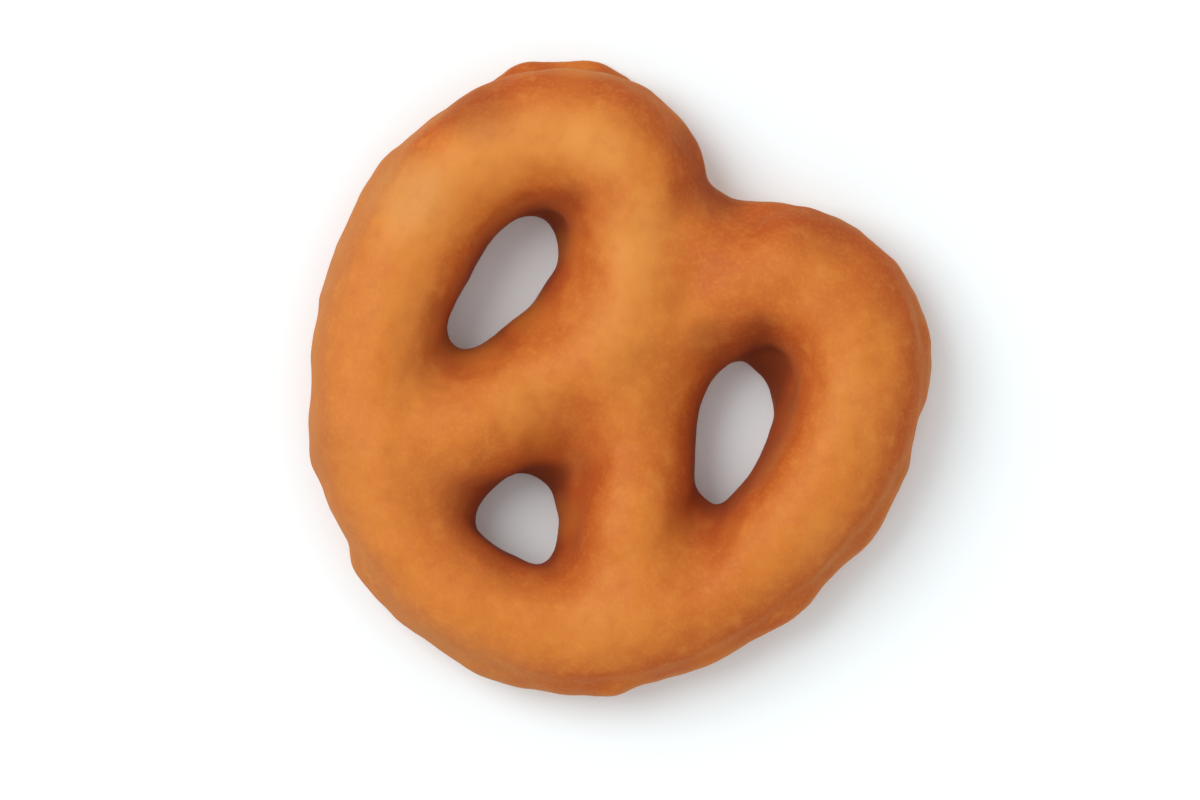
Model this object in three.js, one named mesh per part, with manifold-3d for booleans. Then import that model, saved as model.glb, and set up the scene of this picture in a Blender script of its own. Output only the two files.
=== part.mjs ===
// A small pretzel under a thick caramel coat: one strand of dough, looped and crossed over itself,
// dipped, and set on a flat base. Solid all through, and open at the three holes of the twist.
// Millimetres, +Z up. The origin is on the base under the middle of the outline, and +Y points to the
// dip between the two lobes.

import * as THREE from "three";
import { mergeVertices } from "three/addons/utils/BufferGeometryUtils.js";
import Module from "manifold-3d";

const wasm = await Module();
wasm.setup();

// Centre line of the coated strand, from its end on the left round the ring to its end on the right.
// Each station is x, y and the strand's half width there.
const LEFT_STRAND = {
  end: [-8.9, -9.6, 4.1],
  strut: [-4.8, -3.8, 4.3],
  waist: [-3.3, 3.6, 3.6],
  shoulder: [-4.1, 12.6, 4.4],
  crown: [-9.3, 15.3, 4.7],
  temple: [-14.6, 11.4, 4.4],
  flank: [-16.4, 3.4, 4.4],
  hip: [-14.4, -5.0, 4.25],
  heel: [-9.0, -12.2, 4.0],
};
const BOTTOM = [0.0, -15.7, 3.8];
const RIGHT_STRAND = {
  end: [8.9, -9.2, 4.1],
  strut: [4.8, -3.4, 4.3],
  waist: [2.2, 4.4, 3.55],
  shoulder: [4.0, 12.8, 4.4],
  crown: [9.6, 15.3, 4.6],
  temple: [14.8, 10.8, 4.4],
  flank: [16.2, 2.8, 4.45],
  hip: [14.0, -5.8, 4.1],
  heel: [8.8, -12.6, 4.0],
};
const STRAND_HEIGHT = 4.2; // of the strand's widest section; below it the sides run straight down
const STRAND_STEP = 1.0; // between the points that the coat is summed over

// Coat pooled in the dips between neighbouring strands: x, y, height of its middle, radius.
const POOLS = {
  notch: [-0.3, 13.8, 3.0, 2.6],
  crossing: [0.0, -2.5, 2.2, 2.9],
  leftFork: [-10.4, -4.6, 2.4, 2.4],
  rightFork: [10.4, -4.2, 2.4, 2.4],
};

// Coat that ran down and set along the base, in straight runs from corner to corner of the outline.
const FOOT_RUNS = {
  leftLobe: [[-16.1, 15.6], [-11.9, 18.5], [-7.6, 18.6], [-3.8, 17.4]],
  rightLobe: [[2.4, 16.4], [5.4, 17.9], [8.6, 18.3], [12.2, 17.5], [15.5, 15.5]],
  rightSide: [[19.8, 3.6], [18.9, -0.2], [18.6, -4.0], [15.0, -10.2], [10.8, -15.2]],
  bottom: [[9.8, -15.6], [3.4, -18.5], [-4.6, -18.0], [-7.6, -16.8]],
  lowerLeft: [[-12.7, -13.2], [-15.0, -9.6]],
  leftSide: [[-18.6, -2.2], [-19.8, 5.1], [-18.6, 9.2]],
  leftHole: [[-11.2, 9.8], [-8.6, 9.9]],
  rightHole: [[6.4, 9.2], [8.6, 9.7], [11.3, 8.2], [12.8, 5.6]],
  lowerHole: [[-4.0, -8.8], [-3.9, -11.0]],
};
const FOOT_SPREAD = 1.0;
const FOOT_HEIGHT = 1.7;

const REACH = 1.7; // half widths out from the centre line at which a strand stops adding to its neighbours
const CELL = 0.95; // grid that the surface is drawn on
const GRID_HALF_SPAN = 24;
const GRID_TOP = 10.5;
const CARAMEL = 0xc8712f;

function strandSamples() {
  const stations = [...Object.values(LEFT_STRAND), BOTTOM, ...Object.values(RIGHT_STRAND).reverse()];
  const curve = new THREE.CatmullRomCurve3(stations.map((station) => new THREE.Vector3(...station)));
  const count = Math.round(curve.getLength() / STRAND_STEP);
  return { samples: curve.getSpacedPoints(count), step: curve.getLength() / count };
}

// One at the middle, falling smoothly to nothing at REACH radii.
function falloff(distanceSquared, radius) {
  const reach = REACH * radius;
  return Math.max(0, 1 - distanceSquared / reach ** 2) ** 3;
}

// Distance in plan from a point to the nearest of a run's straight pieces.
function runDistance(x, y, run) {
  let nearest = Infinity;
  for (let i = 1; i < run.length; i += 1) {
    const [startX, startY] = run[i - 1];
    const alongX = run[i][0] - startX;
    const alongY = run[i][1] - startY;
    const share = ((x - startX) * alongX + (y - startY) * alongY) / (alongX ** 2 + alongY ** 2);
    const held = THREE.MathUtils.clamp(share, 0, 1);
    nearest = Math.min(nearest, Math.hypot(x - startX - held * alongX, y - startY - held * alongY));
  }
  return nearest;
}

// The coat's field is zero at its surface and more inside. Strands, pools and foot add up where they
// meet, so they run into one another smoothly. Each is scaled to reach its own radius when alone: a ball's
// falloff there is edge ** 3, and a straight line of them sums to 32 / 35 * reach / step * edge ** 3.5.
function coatField() {
  const { samples, step } = strandSamples();
  const edge = 1 - 1 / REACH ** 2;
  const ballScale = 1 / edge ** 3;
  const lineScale = ((35 / 32) * step) / (REACH * edge ** 3.5);
  return (x, y, z) => {
    let sum = 0;
    const strandRise = Math.max(0, z - STRAND_HEIGHT);
    for (const { x: strandX, y: strandY, z: halfWidth } of samples) {
      const distanceSquared = (x - strandX) ** 2 + (y - strandY) ** 2 + strandRise ** 2;
      sum += (lineScale / halfWidth) * falloff(distanceSquared, halfWidth);
    }
    for (const [poolX, poolY, poolZ, radius] of Object.values(POOLS)) {
      const poolRise = Math.max(0, z - poolZ);
      sum += ballScale * falloff((x - poolX) ** 2 + (y - poolY) ** 2 + poolRise ** 2, radius);
    }
    const footRise = (z * FOOT_SPREAD) / FOOT_HEIGHT;
    for (const run of Object.values(FOOT_RUNS)) {
      sum += ballScale * falloff(runDistance(x, y, run) ** 2 + footRise ** 2, FOOT_SPREAD);
    }
    return sum - 1;
  };
}

// The twelve edges of a grid cell, as the corner that each starts from and the axis that it follows.
function cellEdges() {
  const edges = [];
  for (let axis = 0; axis < 3; axis += 1) {
    for (const [u, v] of [[0, 0], [1, 0], [0, 1], [1, 1]]) {
      const start = [0, 0, 0];
      start[(axis + 1) % 3] = u;
      start[(axis + 2) % 3] = v;
      edges.push({ start, axis });
    }
  }
  return edges;
}

// Closed surface where the field passes zero: one point in each grid cell that the surface crosses, at the
// mean of its crossings of the cell's edges, and one quad round each grid edge that it cuts.
function surfaceNet(field, low, counts) {
  const [countX, countY, countZ] = counts;
  const strides = [1, countX, countX * countY];
  const values = new Float64Array(countX * countY * countZ);
  for (let at = 0; at < values.length; at += 1) {
    const i = at % countX;
    const j = Math.floor(at / strides[1]) % countY;
    const k = Math.floor(at / strides[2]);
    values[at] = field(low.x + i * CELL, low.y + j * CELL, low.z + k * CELL);
  }

  const edges = cellEdges();
  const pointOf = new Map();
  const points = [];
  for (let k = 0; k < countZ - 1; k += 1) {
    for (let j = 0; j < countY - 1; j += 1) {
      for (let i = 0; i < countX - 1; i += 1) {
        const cell = i * strides[0] + j * strides[1] + k * strides[2];
        const crossings = [];
        for (const { start, axis } of edges) {
          const from = cell + start[0] * strides[0] + start[1] * strides[1] + start[2] * strides[2];
          const here = values[from];
          const next = values[from + strides[axis]];
          if (here > 0 === next > 0) continue;
          crossings.push(new THREE.Vector3(...start).setComponent(axis, here / (here - next)));
        }
        if (crossings.length === 0) continue;
        const point = new THREE.Vector3();
        crossings.forEach((crossing) => point.add(crossing));
        point.divideScalar(crossings.length).add(new THREE.Vector3(i, j, k)).multiplyScalar(CELL).add(low);
        pointOf.set(cell, points.length);
        points.push(point);
      }
    }
  }

  const triangles = [];
  for (let at = 0; at < values.length; at += 1) {
    for (let axis = 0; axis < 3; axis += 1) {
      const inside = values[at] > 0;
      if (at + strides[axis] >= values.length || inside === values[at + strides[axis]] > 0) continue;
      const u = strides[(axis + 1) % 3];
      const v = strides[(axis + 2) % 3];
      const quad = [at - u - v, at - v, at, at - u].map((cell) => pointOf.get(cell));
      if (!inside) quad.reverse();
      const [a, b, c, d] = quad;
      const splitAtA = points[a].distanceTo(points[c]) < points[b].distanceTo(points[d]);
      triangles.push(...(splitAtA ? [a, b, c, a, c, d] : [a, b, d, b, c, d]));
    }
  }
  const geometry = new THREE.BufferGeometry().setFromPoints(points);
  geometry.setIndex(triangles);
  return geometry;
}

function solidOf(geometry) {
  geometry.deleteAttribute("normal");
  geometry.deleteAttribute("uv");
  const merged = mergeVertices(geometry);
  const vertProperties = new Float32Array(merged.attributes.position.array);
  const triVerts = new Uint32Array(merged.index.array);
  return new wasm.Manifold(new wasm.Mesh({ numProp: 3, vertProperties, triVerts }));
}

function geometryOf(solid) {
  const mesh = solid.getMesh();
  const geometry = new THREE.BufferGeometry();
  geometry.setAttribute("position", new THREE.BufferAttribute(mesh.vertProperties, 3));
  geometry.setIndex(new THREE.BufferAttribute(mesh.triVerts, 1));
  return geometry;
}

// The net starts two cells under the base, with its lowest layer left empty so that it closes there, and a
// flat cut at the base takes that off.
function coatedPretzel() {
  const cellsBelow = 2;
  const cellsAside = Math.ceil(GRID_HALF_SPAN / CELL);
  const across = 2 * cellsAside + 1;
  const layers = cellsBelow + Math.ceil(GRID_TOP / CELL) + 1;
  const low = new THREE.Vector3(-cellsAside, -cellsAside, -cellsBelow).multiplyScalar(CELL);
  const field = coatField();
  const closedField = (x, y, z) => (z > low.z ? field(x, y, z) : -1);
  const coat = solidOf(surfaceNet(closedField, low, [across, across, layers]));

  const below = new THREE.BoxGeometry(4 * GRID_HALF_SPAN, 4 * GRID_HALF_SPAN, GRID_TOP);
  below.translate(0, 0, -GRID_TOP / 2);
  const geometry = geometryOf(coat.subtract(solidOf(below)));
  geometry.computeBoundingBox();
  const middle = geometry.boundingBox.getCenter(new THREE.Vector3());
  geometry.translate(-middle.x, -middle.y, 0);
  geometry.computeVertexNormals();
  return geometry;
}

const material = new THREE.MeshStandardMaterial({ color: CARAMEL, roughness: 0.45, metalness: 0 });
const pretzel = new THREE.Mesh(coatedPretzel(), material);
pretzel.name = "coated_pretzel";

const part = new THREE.Group();
part.add(pretzel);

export default part;
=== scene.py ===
import math
import bpy
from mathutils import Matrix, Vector


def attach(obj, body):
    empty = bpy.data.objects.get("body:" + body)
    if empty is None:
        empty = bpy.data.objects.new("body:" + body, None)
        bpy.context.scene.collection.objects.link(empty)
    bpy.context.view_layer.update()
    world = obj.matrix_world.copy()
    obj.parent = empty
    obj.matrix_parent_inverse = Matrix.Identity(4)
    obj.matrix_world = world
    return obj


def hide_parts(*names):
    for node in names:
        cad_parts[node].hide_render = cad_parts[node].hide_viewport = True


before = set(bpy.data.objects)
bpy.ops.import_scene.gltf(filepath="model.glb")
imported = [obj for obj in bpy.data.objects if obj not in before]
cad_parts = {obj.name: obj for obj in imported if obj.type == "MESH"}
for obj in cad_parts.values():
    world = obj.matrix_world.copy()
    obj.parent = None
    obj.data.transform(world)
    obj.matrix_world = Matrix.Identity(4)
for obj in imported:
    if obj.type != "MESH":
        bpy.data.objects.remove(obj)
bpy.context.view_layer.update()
print("frame loaded:", sorted(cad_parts))

# The pretzel is modelled in millimetres and shrunk to metres when its mesh is done.
millimetre = 0.001

twist = {
    # centre line of the coated strand, from each end to the bottom: x, y, half width, top of its core
    "leftStrand": [
        (-8.9, -9.6, 4.1, 4.2), (-4.8, -4.0, 4.3, 4.0), (-3.6, 3.6, 3.3, 2.6),
        (-4.1, 12.6, 4.4, 4.2), (-9.3, 15.3, 4.7, 4.2), (-14.45, 11.25, 4.4, 4.2),
        (-16.15, 3.4, 4.28, 4.3), (-14.3, -4.9, 4.25, 4.2), (-9.0, -12.2, 4.0, 4.2),
    ],
    "bottom": (0.0, -15.8, 3.7, 4.2),
    "rightStrand": [
        (8.9, -9.2, 4.1, 4.2), (6.2, -4.2, 4.0, 4.0), (2.5, 4.5, 3.3, 2.8),
        (4.2, 13.1, 4.7, 3.9), (9.7, 15.4, 4.27, 4.2), (14.8, 10.8, 4.4, 4.2),
        (16.2, 2.8, 4.0, 4.4), (13.9, -5.8, 3.8, 4.4), (8.7, -12.6, 3.85, 4.3),
    ],
    "coreFoot": 2.0,         # the core's lower end, below which the sides turn in
    "lumpsPerSpan": 8,
}
pools = {
    # caramel over and between the strands: x, y, top of the core, radius
    "bridgeTop": (-1.6, 8.8, 4.8, 3.0),
    "bridge": (-0.6, 5.2, 4.5, 3.6),
    "bridgeLeft": (-1.6, 1.7, 4.8, 3.0),
    "bridgeRight": (1.5, 1.0, 4.6, 2.7),
    "bridgeFoot": (-2.2, -2.4, 4.0, 2.2),
    "notch": (0.0, 12.9, 3.7, 3.2),
    "crossing": (0.1, -2.2, 2.3, 3.1),
    "leftFork": (-10.7, -4.8, 2.4, 2.4),
    "rightFork": (10.2, -3.9, 2.0, 2.2),
}
dips = {
    # soft hollows where strands meet: x, y, height, radius, share of a whole lump taken off
    "notch": (0.4, 16.2, 7.2, 2.8, 0.18),
    "crossing": (1.0, -4.9, 7.2, 2.4, 0.20),
    "rightFork": (11.0, -3.1, 7.0, 2.1, 0.21),
    "rightForkTail": (12.2, -5.5, 8.0, 2.4, 0.15),
}

# Low runs of coat, from corner to corner: spread is a run's half width, low the lower end of its
# core and height its top.
skirts = {
    # coat that slumped down the outer sides, along the outline
    "runs": [
        [(17.0, 12.2), (16.0, 14.3), (14.4, 16.0), (11.9, 17.1)],
        [(8.5, 17.6), (6.6, 17.2), (4.9, 16.8), (2.6, 15.7)],
        [(-3.6, 16.2), (-5.3, 17.5), (-8.2, 17.8)],
        [(-17.6, 9.6), (-18.5, 7.1), (-19.1, 4.7), (-18.2, -0.5), (-17.5, -3.2)],
        [(-13.65, -10.3), (-12.5, -12.2)],
        [(-6.4, -16.8), (-3.8, -17.6), (4.0, -18.1), (9.4, -15.7), (10.9, -14.5)],
        [(10.9, -14.5), (15.1, -9.4), (18.2, -3.7), (18.4, -0.6), (19.3, 2.8), (18.6, 7.2)],
    ],
    "spread": 1.5,
    "low": 1.8,
    "height": 5.0,
}
ledges = {
    # thin foot at the left lobe, where the coat ran out over the sheet that it set on
    "runs": [
        [(-17.0, 13.2), (-16.0, 16.2), (-13.9, 17.4), (-12.2, 18.9), (-10.2, 18.9)],
    ],
    "spread": 0.8,
    "low": 0.0,
    "height": 1.1,
}
holeEnds = {
    # coat drawn in at the foot of each hole's upper end
    "runs": [
        [(-12.3, 10.6), (-8.9, 11.5), (-6.1, 9.2)],
        [(5.7, 10.2), (8.6, 10.3), (11.3, 8.8)],
        [(-3.5, -4.6), (0.2, -3.65), (2.75, -5.3)],
    ],
    "spread": 2.0,
    "low": 0.0,
    "height": 3.0,
}
holeSides = {
    # coat drawn in all the way down the holes' sides
    "runs": [
        [(-5.2, 0.5), (-5.8, -1.9), (-8.7, -4.7)],
        [(12.5, 8.3), (13.7, 5.7), (14.3, 2.5), (13.75, -1.1)],
        [(3.7, -5.4), (5.0, -7.6), (5.95, -10.4)],
        [(-5.0, -8.2), (-4.8, -10.9)],
    ],
    "spread": 2.0,
    "low": 0.0,
    "height": 4.6,
}
coat = {
    "reach": 1.7,            # radii over which one lump of caramel pulls on the next
    "jointGap": 0.32,        # of that, left open at a corner of a run so that it doesn't swell there
    "jointShare": 0.45,      # of a stretch's length, the most that one gap takes
    "ballSpacing": 0.4,      # of the metaball surface
    "voxel": 0.24,
    "smoothFactor": 0.5,
    "smoothTurns": 4,
    "waves": (5.0, 0.22),    # width and depth of the uneven coat
    "ripples": (1.6, 0.06),
    "waveDetail": 1,
    "baseTrim": 0.1,         # cut off below, because the waves leave the underside uneven
}


def strandPoint(stations, span, share):
    # centripetal spline through the stations, so that it never loops at a tight bend
    before = stations[span - 1] if span else 2 * stations[0] - stations[1]
    after = stations[span + 2] if span + 2 < len(stations) else 2 * stations[-1] - stations[-2]
    points = [before, stations[span], stations[span + 1], after]
    knots = [0.0]
    for start, end in zip(points, points[1:]):
        knots.append(knots[-1] + math.sqrt((end - start).length))
    at = knots[1] + share * (knots[2] - knots[1])

    def blend(start, end, low, high):
        return start.lerp(end, (at - low) / (high - low))

    sides = [blend(points[i], points[i + 1], knots[i], knots[i + 1]) for i in range(3)]
    bends = [blend(sides[i], sides[i + 1], knots[i], knots[i + 2]) for i in range(2)]
    return blend(bends[0], bends[1], knots[1], knots[2])


def strandPoints():
    stations = [Vector(s) for s in twist["leftStrand"]] + [Vector(twist["bottom"])]
    stations += [Vector(s) for s in reversed(twist["rightStrand"])]
    count = twist["lumpsPerSpan"]
    points = []
    for span in range(len(stations) - 1):
        points += [strandPoint(stations, span, i / count) for i in range(count)]
    return points + [stations[-1]]


def addLump(balls, place, halfSize, radius, strength, turn=0.0):
    lump = balls.elements.new(type="CUBE")
    lump.co = place
    lump.size_x, lump.size_y, lump.size_z = halfSize
    lump.rotation = (math.cos(turn / 2), 0, 0, math.sin(turn / 2))
    lump.radius = coat["reach"] * radius
    lump.stiffness = strength
    return lump


def addStrand(balls, strength):
    points = strandPoints()
    low = twist["coreFoot"]
    for i, (x, y, halfWidth, high) in enumerate(points):
        ahead = points[min(i + 1, len(points) - 1)]
        behind = points[max(i - 1, 0)]
        step = (ahead.xy - behind.xy).length / 2
        middle = (x, y, (low + high) / 2)
        addLump(balls, middle, (0, 0, (high - low) / 2), halfWidth, strength * step / halfWidth)


def addRun(balls, foot, corners, strength):
    joint = coat["jointGap"] * coat["reach"] * foot["spread"]
    low = foot["low"]
    high = foot["height"] - foot["spread"]
    for i, (start, end) in enumerate(zip(corners, corners[1:])):
        along = Vector(end) - Vector(start)
        gap = along.normalized() * min(joint, coat["jointShare"] * along.length)
        first = Vector(start) + (gap if i > 0 else 0 * gap)
        last = Vector(end) - (gap if i < len(corners) - 2 else 0 * gap)
        middle = (first + last) / 2
        place = (middle.x, middle.y, (high + low) / 2)
        halfSize = ((last - first).length / 2, 0, (high - low) / 2)
        addLump(balls, place, halfSize, foot["spread"], strength, math.atan2(along.y, along.x))


def poolCaramel():
    bpy.ops.object.select_all(action="DESELECT")
    bpy.ops.object.metaball_add(type="CUBE", radius=1.0)
    balls = bpy.context.object.data
    balls.threshold = 1.0
    balls.resolution = balls.render_resolution = coat["ballSpacing"]
    balls.elements.remove(balls.elements[0])     # the lump it comes with

    # A lump's pull falls off as (1 - d * d) ** 3, and along a row that adds up to 32 / 35. With these
    # strengths a lump alone reaches its own radius, and so does a straight row of them.
    edge = 1 - 1 / coat["reach"] ** 2
    lumpStrength = edge ** -3
    rowStrength = 35 / 32 / (coat["reach"] * edge ** 3.5)

    addStrand(balls, rowStrength)
    for x, y, high, radius in pools.values():
        addLump(balls, (x, y, high / 2), (0, 0, high / 2), radius, lumpStrength)
    for x, y, z, radius, share in dips.values():
        addLump(balls, (x, y, z), (0, 0, 0), radius, lumpStrength * share).use_negative = True
    for foot in (skirts, ledges, holeEnds, holeSides):
        for corners in foot["runs"]:
            addRun(balls, foot, corners, lumpStrength)
    bpy.ops.object.convert(target="MESH")
    return bpy.context.object


def cutBase(height):
    bpy.ops.object.mode_set(mode="EDIT")
    bpy.ops.mesh.select_all(action="SELECT")
    bpy.ops.mesh.bisect(plane_co=(0, 0, height), plane_no=(0, 0, 1), use_fill=True, clear_inner=True)
    bpy.ops.mesh.select_all(action="SELECT")
    bpy.ops.mesh.normals_make_consistent(inside=False)
    bpy.ops.object.mode_set(mode="OBJECT")


def applyModifier(piece, kind, **settings):
    modifier = piece.modifiers.new(kind.title(), kind)
    for name, value in settings.items():
        setattr(modifier, name, value)
    bpy.ops.object.modifier_apply(modifier=modifier.name)


def unevenCoat(piece, name):
    width, depth = coat[name]
    clouds = bpy.data.textures.new(name, "CLOUDS")
    clouds.noise_scale = width
    clouds.noise_depth = coat["waveDetail"]
    bothWays = {"strength": 2 * depth, "mid_level": 0.5}     # out and in by the depth
    applyModifier(piece, "DISPLACE", texture=clouds, texture_coords="LOCAL", **bothWays)
    bpy.data.textures.remove(clouds)


def modelPretzel():
    piece = poolCaramel()
    cutBase(0.0)
    applyModifier(piece, "REMESH", mode="VOXEL", voxel_size=coat["voxel"])
    applyModifier(piece, "SMOOTH", factor=coat["smoothFactor"], iterations=coat["smoothTurns"])
    unevenCoat(piece, "waves")
    unevenCoat(piece, "ripples")
    cutBase(coat["baseTrim"])
    piece.location.z = -coat["baseTrim"]
    piece.location.z *= millimetre
    piece.scale *= millimetre
    bpy.ops.object.transform_apply(location=True, rotation=True, scale=True)
    bpy.ops.object.shade_smooth()
    piece.name = piece.data.name = "caramelPretzel"
    print("pretzel modelled:", len(piece.data.polygons), "faces")
    return piece


class Wire:
    def __init__(self, tree, socket):
        self.tree = tree
        self.socket = socket

    def node(self, kind, settings, inputs, output=0):
        made = self.tree.nodes.new(kind)
        for name, value in settings.items():
            setattr(made, name, value)
        for name, value in inputs.items():
            if isinstance(value, Wire):
                self.tree.links.new(value.socket, made.inputs[name])
            else:
                made.inputs[name].default_value = value
        return Wire(self.tree, made.outputs[output])

    def math(self, operation, first, second):
        return self.node("ShaderNodeMath", {"operation": operation}, {0: first, 1: second})

    def vector(self, operation, other, output):
        return self.node("ShaderNodeVectorMath", {"operation": operation}, {0: self, 1: other}, output)

    def __add__(self, other):
        return self.math("ADD", self, other)

    def __radd__(self, other):
        return self.math("ADD", other, self)

    def __sub__(self, other):
        return self.math("SUBTRACT", self, other)

    def __rsub__(self, other):
        return self.math("SUBTRACT", other, self)

    def __mul__(self, other):
        return self.math("MULTIPLY", self, other)

    def __rmul__(self, other):
        return self.math("MULTIPLY", other, self)

    def between(self, none, full, shape="SMOOTHSTEP"):
        ends = {"Value": self, "From Min": none, "From Max": full}
        return self.node("ShaderNodeMapRange", {"interpolation_type": shape}, ends)

    def mixed(self, base, top):
        # the node's colour sockets are 6, 7 and 2
        return self.node("ShaderNodeMix", {"data_type": "RGBA"}, {0: self, 6: base, 7: top}, 2)


caramel = {
    # tones
    "pale": (0.658, 0.259, 0.048, 1),
    "crest": (0.578, 0.178, 0.022, 1),
    # slopes: painted shade, also the tone of dark flecks and streaks
    "slope": (0.416, 0.073, 0.007, 1),
    "flank": (0.452, 0.142, 0.032, 1),       # painted light and sheen on the outer slopes of the lit side
    "rim": (0.446, 0.165, 0.044, 1),         # painted sheen where the slopes turn down at the outline
    "side": (0.53, 0.172, 0.036, 1),         # steep outer walls
    "hollow": (0.34, 0.056, 0.008, 1),       # painted shade on slopes that face each other
    "depth": (0.14, 0.022, 0.004, 1),        # painted shade down the holes and in dark ends and spots
    "dullSheen": (0.50, 0.27, 0.085, 1),         # greyish painted sheen where the coat set dull

    # ranges from none of a tone to all of it, by how far the surface faces up, 0 to 1
    "crestFacing": (0.58, 1.0),
    "rimFacing": (0.7, 0.15),
    "wallFacing": (0.6, 0.15),
    # by openness, 0 in a tight hollow to 1 in the open
    "flankOpen": (0.6, 0.9),
    "rimOpen": (0.5, 0.85),
    "wallOpen": (0.6, 0.85),
    "hollowOpen": (1.0, 0.55),
    "depthOpen": (0.7, 0.2),
    # by millimetres from the middle towards the lit side
    "flankOut": (5.0, 13.0),
    "litSide": (-0.62, -0.78, 0.0),
    # by noise
    "wallStreaks": (0.68, 0.34),

    # flecks: range of the noise, strength
    "paleGrain": (0.45, 0.75, 0.22),
    "paleMottle": (0.5, 0.8, 0.25),
    "deepMottle": (0.5, 0.2, 0.18),

    "paleOnSlopes": 0.35,    # share of a patch of painted light that shows off the crests
    "deepShare": 0.6,        # strengths of the tones over the one below
    "rimShare": 0.8,
    "darkShare": 0.7,
    "streakShare": 0.6,
    "crestMottle": 0.12,     # how far mottle shifts the crests' and the walls' edges
    "wallMottle": 0.5,
    "streakMix": 0.6,        # share of mottle, the rest being grain
    "reliefMix": 0.7,
    "patchCore": 0.2,        # of a patch's radius, within which it is full
    "darkCore": 0.3,

    # soft areas of painted light and sheen, then of painted shade: x, y, radius, strength
    "litPatches": [
        # left lobe and flank
        (-8.9, 14.8, 3.6, 0.85), (-12.4, 13.4, 3.6, 0.5), (-15.4, 9.8, 4.2, 0.6),
        (-17.6, 4.4, 5.0, 0.8), (-13.4, -1.3, 4.0, 0.25),
        # waist
        (-4.0, 11.2, 4.2, 0.7), (-2.2, 8.2, 3.2, 0.4), (-1.0, 4.6, 4.0, 0.38), (-3.6, -2.8, 3.5, 0.3),
        # bottom and right flank
        (-8.8, -12.6, 5.0, 0.15), (9.0, -12.8, 4.0, 0.2), (18.2, 0.5, 3.0, 0.35), (15.0, 9.0, 4.5, 0.3),
    ],
    # painted shade, where slopes face away from the light or into hollows
    "shadePatches": [
        # left lobe
        (-16.8, 13.4, 4.0, 0.6), (-13.5, 16.6, 4.0, 0.3), (-8.2, 18.0, 3.8, 0.55),
        (-2.4, 17.6, 3.5, 0.9), (-6.8, 11.6, 2.8, 0.5),
        # notch and waist
        (0.4, 13.4, 3.8, 0.6), (1.2, 11.0, 3.5, 0.4), (4.6, 12.6, 4.5, 0.5), (6.2, 9.4, 3.2, 0.9),
        (4.0, 5.0, 4.0, 0.4), (5.2, -0.2, 4.0, 0.4), (0.0, -2.5, 3.5, 0.5),
        # right lobe and flank
        (5.5, 17.8, 4.0, 0.8), (8.6, 12.8, 3.6, 0.35), (11.0, 17.5, 4.5, 0.8),
        (17.6, 10.0, 4.0, 0.5), (13.6, -6.8, 5.0, 0.45),
        # round the lower hole
        (-3.7, -6.6, 3.5, 0.5), (-6.6, -10.6, 4.2, 0.45), (-4.0, -12.6, 4.0, 0.4),
        (-0.5, -12.2, 5.0, 0.5),
    ],
    # painted shade at the upper ends of the holes and the notch, where the wall stays in the dark: x,
    # y, height, radius
    "darkEnds": [
        (-8.4, 9.8, 2.0, 3.0), (8.0, 9.6, 2.2, 3.4), (10.0, 8.2, 2.0, 2.8), (0.8, -4.9, 3.0, 2.2),
        (-1.0, 17.2, 2.0, 3.4),
    ],
    # small spots of painted shade, painted light and painted sheen: x, y, radius, strength
    "thickSpots": [
        # lobes and notch
        (-17.5, 12.4, 3.6, 0.28), (-3.8, 18.2, 2.2, 0.35), (-0.6, 16.8, 3.0, 0.55),
        (6.6, 18.9, 4.0, 0.22),
        # upper ends of the holes
        (-8.6, 10.7, 1.8, 0.3), (4.6, 7.8, 2.4, 0.35), (6.9, 9.8, 2.2, 0.5), (11.2, 7.2, 1.3, 0.15),
        (1.5, -4.2, 1.6, 0.25),
        # lower left
        (-12.8, -12.6, 2.8, 0.1),
    ],
    # painted light
    "thinSpots": [
        # round the left hole
        (-13.3, 7.6, 3.0, 0.3), (-6.8, 8.0, 2.0, 0.3), (-7.0, 2.6, 2.6, 0.4), (-8.6, -1.3, 2.6, 0.38),
        (-12.2, -2.8, 3.0, 0.25),
        # round the other two
        (-2.1, -4.4, 2.2, 0.36), (2.4, -7.8, 2.2, 0.35), (9.0, -4.3, 2.2, 0.42), (12.9, -2.2, 1.6, 0.3),
        # outer edges
        (-13.4, 18.6, 2.2, 0.5), (18.8, 4.0, 4.2, 0.14), (17.6, -3.6, 4.2, 0.14),
        (16.4, -10.0, 2.4, 0.35), (12.6, -14.8, 2.4, 0.35),
    ],
    "dullSpots": [(-17.9, 5.2, 3.8, 0.28)],

    "mottleScale": 0.9,      # per millimetre
    "grainScale": 4.0,
    "noiseDetail": 2.0,
    "openReach": 7.0,        # millimetres over which a hollow is felt
    "openSamples": 8,
    "slopeRoughness": 0.78,
    "crestPolish": 0.34,     # less rough on the crests by this
    "mottleRoughness": 0.16,
    "bumpStrength": 0.25,
    "bumpDepth": 0.1,        # millimetres
    "body": {
        "IOR": 1.45,
        "Subsurface Weight": 0.25,
        "Subsurface Radius": (1.0, 0.35, 0.12),
        "Subsurface Scale": 0.0015,
        "Specular IOR Level": 0.25,
    },
}


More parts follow.
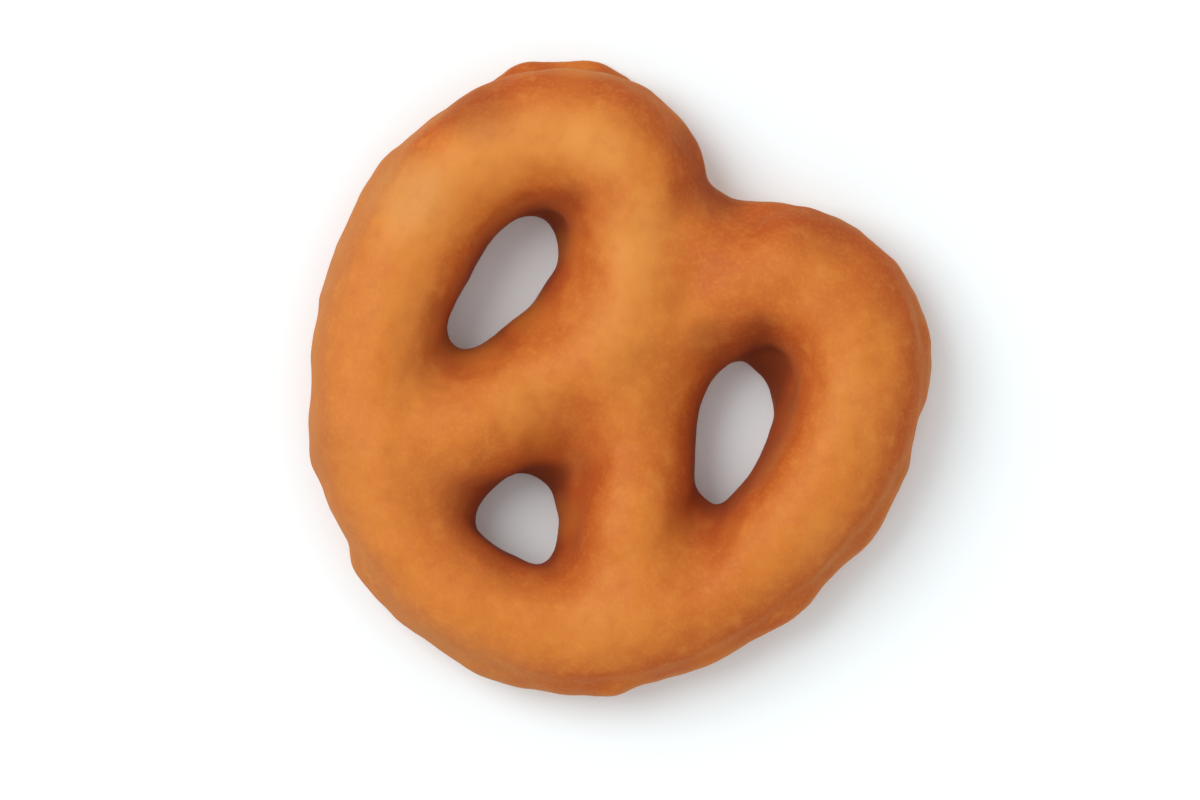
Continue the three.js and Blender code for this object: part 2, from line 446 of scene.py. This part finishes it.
def caramelFinish():
    material = bpy.data.materials.new("caramelCoat")
    material.use_nodes = True
    tree = material.node_tree
    shader = tree.nodes["Principled BSDF"]
    start = Wire(tree, None)
    place = start.node("ShaderNodeTexCoord", {}, {}, "Object")
    scaling = {0: place, "Scale": 1 / millimetre}
    place = place.node("ShaderNodeVectorMath", {"operation": "SCALE"}, scaling)
    flat = place.vector("MULTIPLY", (1, 1, 0), "Vector")
    facing = start.node("ShaderNodeTexCoord", {}, {}, "Normal")
    upward = facing.node("ShaderNodeSeparateXYZ", {}, {0: facing}, "Z")
    probe = {"only_local": True, "samples": caramel["openSamples"]}
    reach = {"Distance": caramel["openReach"] * millimetre}
    openness = place.node("ShaderNodeAmbientOcclusion", probe, reach, "AO")

    def noise(scale):
        inputs = {"Vector": place, "Scale": scale, "Detail": caramel["noiseDetail"]}
        return place.node("ShaderNodeTexNoise", {}, inputs)

    mottle = noise(caramel["mottleScale"])
    grain = noise(caramel["grainScale"])

    def blended(share):
        return mottle * share + grain * (1 - share)

    def near(point, centre, radius, core):
        return point.vector("DISTANCE", centre, "Value").between(radius, core * radius)

    def patches(name):
        total = 0.0
        for x, y, radius, strength in caramel[name]:
            total = near(flat, (x, y, 0), radius, caramel["patchCore"]) * strength + total
        return total

    # crests lighter and slopes darker by how far they face up, a painted shade; painted light on the
    # flanks of the lit side
    shift = caramel["crestMottle"]
    crest = (upward + shift * mottle - shift / 2).between(*caramel["crestFacing"], "LINEAR")
    outward = place.vector("DOT_PRODUCT", caramel["litSide"], "Value")
    flank = outward.between(*caramel["flankOut"]) * openness.between(*caramel["flankOpen"])
    colour = crest.mixed(flank.mixed(caramel["slope"], caramel["flank"]), caramel["crest"])

    # patches of painted light and of painted shade, then random flecks
    showing = caramel["paleOnSlopes"] + (1 - caramel["paleOnSlopes"]) * crest
    colour = (showing * patches("litPatches")).mixed(colour, caramel["pale"])
    deep = patches("shadePatches")
    colour = (deep * caramel["deepShare"]).mixed(colour, caramel["slope"])
    flecks = [(grain, "paleGrain", "pale"), (mottle, "paleMottle", "pale")]
    flecks.append((mottle, "deepMottle", "slope"))
    for speckle, name, tone in flecks:
        none, full, strength = caramel[name]
        colour = (speckle.between(none, full) * strength).mixed(colour, caramel[tone])

    # painted sheen on the outer rim, then painted shade in the hollows and down the holes
    rim = upward.between(*caramel["rimFacing"]) * openness.between(*caramel["rimOpen"])
    rim = rim * (caramel["rimShare"] - caramel["rimShare"] * deep)
    colour = rim.mixed(colour, caramel["rim"])
    colour = openness.between(*caramel["hollowOpen"]).mixed(colour, caramel["hollow"])
    colour = openness.between(*caramel["depthOpen"]).mixed(colour, caramel["depth"])
    for x, y, z, radius in caramel["darkEnds"]:
        dark = near(place, (x, y, z), radius, caramel["darkCore"]) * caramel["darkShare"]
        colour = dark.mixed(colour, caramel["depth"])
    # small spots of painted shade, painted light and painted sheen
    for name, tone in (("thickSpots", "depth"), ("thinSpots", "crest"), ("dullSpots", "dullSheen")):
        colour = patches(name).mixed(colour, caramel[tone])

    # streaked outer walls
    wall = (upward + caramel["wallMottle"] * mottle).between(*caramel["wallFacing"])
    wall = wall * openness.between(*caramel["wallOpen"])
    streaks = caramel["streakShare"] * blended(caramel["streakMix"]).between(*caramel["wallStreaks"])
    colour = wall.mixed(colour, streaks.mixed(caramel["side"], caramel["slope"]))

    roughness = caramel["slopeRoughness"] - caramel["crestPolish"] * crest
    roughness = roughness + caramel["mottleRoughness"] * mottle
    relief = {
        "Strength": caramel["bumpStrength"],
        "Distance": caramel["bumpDepth"] * millimetre,
        "Height": blended(caramel["reliefMix"]),
    }
    bump = place.node("ShaderNodeBump", {}, relief)

    for name, wire in {"Base Color": colour, "Roughness": roughness, "Normal": bump}.items():
        tree.links.new(wire.socket, shader.inputs[name])
    for name, value in caramel["body"].items():
        shader.inputs[name].default_value = value
    print("caramel finish:", len(tree.nodes), "nodes")
    return material


studio = {
    "floorSize": 3.0,
    "paper": (0.865, 0.935, 0.957, 1),
    "paperRoughness": 0.9,
    "keyAzimuth": math.radians(186),
    "keyElevation": math.radians(53),
    "keyDistance": 0.6,
    "keySize": 0.42,
    "keyPower": 1.95,
    "fill": 0.815,                  # even white light from all round
    "aim": (0.0004, 0.0004),        # where the camera's axis meets the floor
    "cameraHeight": 0.409,
    "cameraTurn": math.radians(33),
    "lens": 180.0,
    "sensor": 36.0,
    "nearest": 0.01,                # distance from which the camera sees
}


def layFloor():
    bpy.ops.object.select_all(action="DESELECT")
    bpy.ops.mesh.primitive_plane_add(size=studio["floorSize"], location=(0, 0, 0))
    floor = bpy.context.object
    floor.name = "floor"
    paper = bpy.data.materials.new("palePaper")
    paper.use_nodes = True
    sockets = paper.node_tree.nodes["Principled BSDF"].inputs
    sockets["Base Color"].default_value = studio["paper"]
    sockets["Roughness"].default_value = studio["paperRoughness"]
    floor.data.materials.append(paper)


def hangKey():
    azimuth, elevation = studio["keyAzimuth"], studio["keyElevation"]
    across = math.cos(elevation)
    toKey = Vector((math.cos(azimuth) * across, math.sin(azimuth) * across, math.sin(elevation)))
    place = toKey * studio["keyDistance"]
    turn = place.to_track_quat("Z", "Y").to_euler()
    bpy.ops.object.light_add(type="AREA", location=place, rotation=turn)
    light = bpy.context.object.data
    light.shape = "DISK"
    light.size = studio["keySize"]
    light.energy = studio["keyPower"]


def fillRound():
    world = bpy.data.worlds.new("studio")
    world.use_nodes = True
    sockets = world.node_tree.nodes["Background"].inputs
    sockets["Color"].default_value = (1, 1, 1, 1)
    sockets["Strength"].default_value = studio["fill"]
    bpy.context.scene.world = world
    bpy.context.scene.view_settings.view_transform = "Standard"


def placeCamera():
    place = (*studio["aim"], studio["cameraHeight"])
    bpy.ops.object.camera_add(location=place, rotation=(0, 0, studio["cameraTurn"]))
    camera = bpy.context.object
    camera.data.lens = studio["lens"]
    camera.data.sensor_width = studio["sensor"]
    camera.data.clip_start = studio["nearest"]
    bpy.context.scene.camera = camera


pretzel = modelPretzel()
pretzel.data.materials.append(caramelFinish())
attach(pretzel, "root")
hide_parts("coated_pretzel")

layFloor()
hangKey()
fillRound()
placeCamera()
print("studio set")
